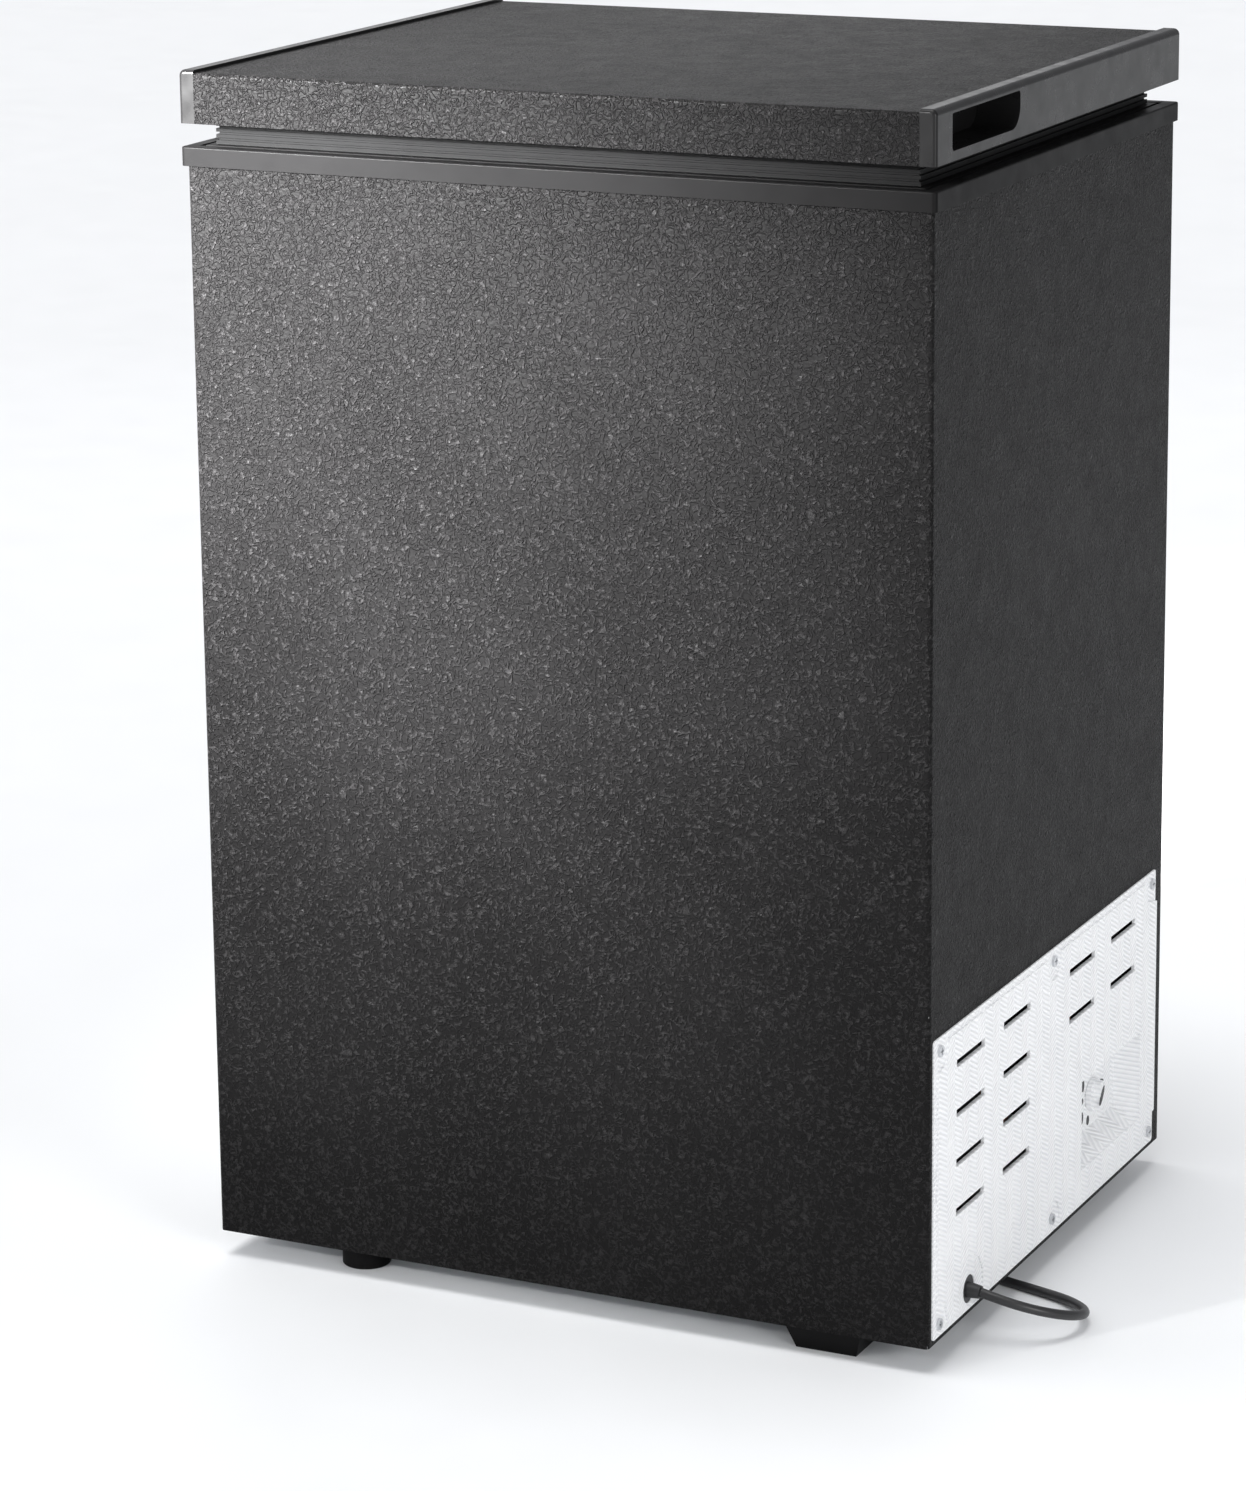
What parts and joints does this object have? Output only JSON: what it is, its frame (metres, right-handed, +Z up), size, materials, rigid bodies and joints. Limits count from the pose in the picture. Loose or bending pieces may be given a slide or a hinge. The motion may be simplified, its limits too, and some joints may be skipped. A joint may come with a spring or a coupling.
{
  "type": "chest freezer",
  "caption": "Small upright-format chest freezer with a lift-up lid, embossed black cabinet, white side compressor cover, hanging basket and mains cord.",
  "frame": {"origin": "centre of the appliance's footprint on the floor, its free mains cord left out", "axes": "+X towards the side with the compressor cover, -Y the front, +Y the hinge side, +Z up"},
  "size_m": [0.5876, 0.5445, 0.81],
  "materials": {
    "embossed_black": "black enamelled steel sheet with a fine leather-like emboss",
    "galvanised": "zinc-coated steel sheet",
    "liner_white": "smooth white moulded plastic",
    "tube_metal": "plain drawn tube",
    "foam": "rigid polyurethane foam",
    "collar_black": "satin black moulded plastic",
    "cap_black": "satin-gloss black moulded plastic",
    "cover_white": "white moulded plastic with a fine ribbed texture",
    "screw_steel": "bright zinc-plated steel",
    "lamp": "dark smoked lens",
    "compressor_black": "black baked paint",
    "motor_iron": "bare iron and laminated steel",
    "rubber_black": "soft black rubber",
    "copper": "bare copper tube",
    "gasket_black": "flexible black sealing profile",
    "magnet": "flexible magnet strip",
    "hinge_black": "black painted steel",
    "wire_white": "white coated steel wire",
    "cord_black": "black cord jacket",
    "blade_brass": "nickel-washed brass"
  },
  "bodies": {
    "cabinet": {"back_panel": "embossed_black", "base_panel": "galvanised", "bay_panel": "galvanised", "cabinet_foam": "foam", "capillary_tube": "copper", "compressor_bolts": "screw_steel", "compressor_cover": "cover_white", "compressor_foot_plate": "compressor_black", "compressor_grommets": "rubber_black", "compressor_lower_cup": "compressor_black", "compressor_motor": "motor_iron", "compressor_tray": "galvanised", "compressor_upper_cup": "compressor_black", "condenser_tube": "tube_metal", "cord_coil": "cord_black", "cord_gland": "cord_black", "cord_tail": "cord_black", "cord_tie": "collar_black", "cover_screws": "screw_steel", "discharge_tube": "copper", "drier_inlet_tube": "copper", "evaporator_tube": "tube_metal", "filter_drier": "copper", "fixed_foot_front": "collar_black", "fixed_foot_rear": "collar_black", "foot_screws": "screw_steel", "hinge_leaf_left": "hinge_black", "hinge_leaf_right": "hinge_black", "hinge_leaf_screws": "screw_steel", "hinge_pins": "screw_steel", "inner_leads": "cord_black", "inner_liner": "liner_white", "levelling_sockets": "screw_steel", "outer_shell": "embossed_black", "pilot_lamp": "lamp", "plug_blades": "blade_brass", "power_cord": "cord_black", "power_plug": "cord_black", "process_tube": "copper", "sensor_tube": "copper", "suction_tube": "copper", "terminal_cover": "collar_black", "thermostat_body": "cover_white", "top_collar": "collar_black"},
    "lid": {"lid_skin": "embossed_black", "lid_cap_left": "cap_black", "lid_cap_right": "cap_black", "lid_inner_panel": "liner_white", "lid_foam": "foam", "lid_gasket": "gasket_black", "gasket_magnets": "magnet", "hinge_arm_left": "hinge_black", "hinge_arm_right": "hinge_black", "hinge_arm_screws": "screw_steel"},
    "knob": {"thermostat_knob": "cover_white"},
    "basket": {"wire_basket": "wire_white"},
    "front_foot_stud": {"levelling_stud_front": "screw_steel"},
    "front_foot_pad": {"levelling_pad_front": "collar_black"},
    "rear_foot_stud": {"levelling_stud_rear": "screw_steel"},
    "rear_foot_pad": {"levelling_pad_rear": "collar_black"}
  },
  "joints": [
    {"name": "lid_hinge", "type": "hinge", "parent": "cabinet", "child": "lid", "pos_m": [0, 0.218, 0.76775], "axis": [-1, 0, 0], "range_deg": [0, 90]},
    {"name": "thermostat_turn", "type": "hinge", "parent": "cabinet", "child": "knob", "pos_m": [0.2475, 0.11778, 0.07906], "axis": [1, 0, 0], "range_deg": [0, 300]},
    {"name": "basket_slide", "type": "slide", "parent": "cabinet", "child": "basket", "axis": [1, 0, 0], "range_m": [-0.2, 0]},
    {"name": "front_foot_screw", "type": "slide", "parent": "cabinet", "child": "front_foot_stud", "axis": [0, 0, 1], "range_m": [0, 0.00375]},
    {"name": "front_foot_turn", "type": "hinge", "parent": "front_foot_stud", "child": "front_foot_pad", "pos_m": [-0.163, -0.1895, 0.01], "axis": [0, 0, 1], "range_deg": [0, 1080]},
    {"name": "rear_foot_screw", "type": "slide", "parent": "cabinet", "child": "rear_foot_stud", "axis": [0, 0, 1], "range_m": [0, 0.00375]},
    {"name": "rear_foot_turn", "type": "hinge", "parent": "rear_foot_stud", "child": "rear_foot_pad", "pos_m": [-0.163, 0.1815, 0.01], "axis": [0, 0, 1], "range_deg": [0, 1080]}
  ],
  "couplings": [
    {"joint": "front_foot_screw", "follows": "front_foot_turn", "m_per_rad": 0.00019894},
    {"joint": "rear_foot_screw", "follows": "rear_foot_turn", "m_per_rad": 0.00019894}
  ]
}
